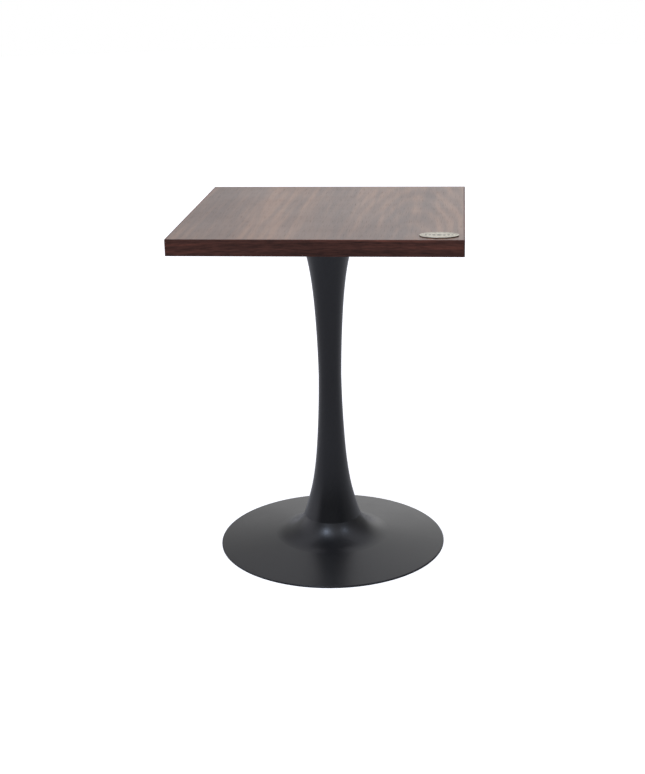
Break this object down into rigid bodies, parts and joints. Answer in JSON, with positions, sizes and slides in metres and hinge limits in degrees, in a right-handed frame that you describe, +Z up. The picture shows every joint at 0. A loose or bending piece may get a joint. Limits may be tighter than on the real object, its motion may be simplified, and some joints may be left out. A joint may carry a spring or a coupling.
{
  "type": "bistro table",
  "caption": "Square walnut-pattern laminate bistro table on a black hourglass steel column and a round dished base with levelling glides.",
  "frame": {"origin": "on the floor, at the foot of the column's axis", "axes": "+Z up along the column; -Y is the top's front edge, by the badge; +X to the right of a person facing it"},
  "size_m": [0.575, 0.575, 0.7522],
  "materials": {
    "walnut_laminate": "satin walnut-pattern laminate, straight grain front to back",
    "walnut_edge_band": "dark walnut edge band, grain along the edge",
    "backer_laminate": "matt dark balancing laminate",
    "particleboard": "raw pressed wood chips",
    "badge_metal": "champagne satin metal",
    "badge_enamel": "grey-green enamel with a plain ornament",
    "adhesive_foam": "thin black foam tape",
    "zinc_steel": "bright zinc plate",
    "bare_steel": "oiled mild steel",
    "black_powder_coat": "satin black powder coat, fine texture",
    "cast_iron": "sand-cast, black primer",
    "black_rubber": "matt black thermoplastic rubber",
    "black_nylon": "moulded black nylon"
  },
  "bodies": {
    "table": {"top_laminate": "walnut_laminate", "backer_laminate": "backer_laminate", "tabletop_core": "particleboard", "edge_band_front": "walnut_edge_band", "edge_band_rear": "walnut_edge_band", "edge_band_left": "walnut_edge_band", "edge_band_right": "walnut_edge_band", "badge_plate": "badge_metal", "badge_inlay": "badge_enamel", "badge_adhesive": "adhesive_foam", "threaded_inserts": "zinc_steel", "plate_screws": "zinc_steel", "plate_washers": "zinc_steel", "mounting_plate": "black_powder_coat", "plate_boss": "black_powder_coat", "upper_column_shell": "black_powder_coat", "lower_column_shell": "black_powder_coat", "waist_sleeve": "bare_steel", "upper_centring_disc": "bare_steel", "lower_centring_disc": "bare_steel", "base_collar": "bare_steel", "tie_rod": "zinc_steel", "tie_rod_jam_nut": "zinc_steel", "tie_rod_nut": "zinc_steel", "tie_rod_washer": "zinc_steel", "tie_rod_lock_washer": "zinc_steel", "base_shell": "black_powder_coat", "ballast_plate": "cast_iron", "damping_ring": "black_rubber", "rim_trim": "black_rubber"},
    "glide_1_pad": {"glide_1_pad": "black_nylon"},
    "glide_1_stem": {"glide_1_foot": "black_nylon", "glide_1_spindle": "zinc_steel"},
    "glide_2_pad": {"glide_2_pad": "black_nylon"},
    "glide_2_stem": {"glide_2_foot": "black_nylon", "glide_2_spindle": "zinc_steel"},
    "glide_3_pad": {"glide_3_pad": "black_nylon"},
    "glide_3_stem": {"glide_3_foot": "black_nylon", "glide_3_spindle": "zinc_steel"},
    "glide_4_pad": {"glide_4_pad": "black_nylon"},
    "glide_4_stem": {"glide_4_foot": "black_nylon", "glide_4_spindle": "zinc_steel"}
  },
  "joints": [
    {"name": "glide_1_travel", "type": "slide", "parent": "table", "child": "glide_1_pad", "axis": [0, 0, -1], "range_m": [0, 0.004]},
    {"name": "glide_1_turn", "type": "hinge", "parent": "glide_1_pad", "child": "glide_1_stem", "pos_m": [0.11667, 0.11667, 0.005], "axis": [0, 0, -1], "range_deg": [0, 1152]},
    {"name": "glide_2_travel", "type": "slide", "parent": "table", "child": "glide_2_pad", "axis": [0, 0, -1], "range_m": [0, 0.004]},
    {"name": "glide_2_turn", "type": "hinge", "parent": "glide_2_pad", "child": "glide_2_stem", "pos_m": [-0.11667, 0.11667, 0.005], "axis": [0, 0, -1], "range_deg": [0, 1152]},
    {"name": "glide_3_travel", "type": "slide", "parent": "table", "child": "glide_3_pad", "axis": [0, 0, -1], "range_m": [0, 0.004]},
    {"name": "glide_3_turn", "type": "hinge", "parent": "glide_3_pad", "child": "glide_3_stem", "pos_m": [-0.11667, -0.11667, 0.005], "axis": [0, 0, -1], "range_deg": [0, 1152]},
    {"name": "glide_4_travel", "type": "slide", "parent": "table", "child": "glide_4_pad", "axis": [0, 0, -1], "range_m": [0, 0.004]},
    {"name": "glide_4_turn", "type": "hinge", "parent": "glide_4_pad", "child": "glide_4_stem", "pos_m": [0.11667, -0.11667, 0.005], "axis": [0, 0, -1], "range_deg": [0, 1152]}
  ],
  "couplings": [
    {"joint": "glide_1_turn", "follows": "glide_1_travel", "rad_per_m": 5026.5},
    {"joint": "glide_2_turn", "follows": "glide_2_travel", "rad_per_m": 5026.5},
    {"joint": "glide_3_turn", "follows": "glide_3_travel", "rad_per_m": 5026.5},
    {"joint": "glide_4_turn", "follows": "glide_4_travel", "rad_per_m": 5026.5}
  ]
}
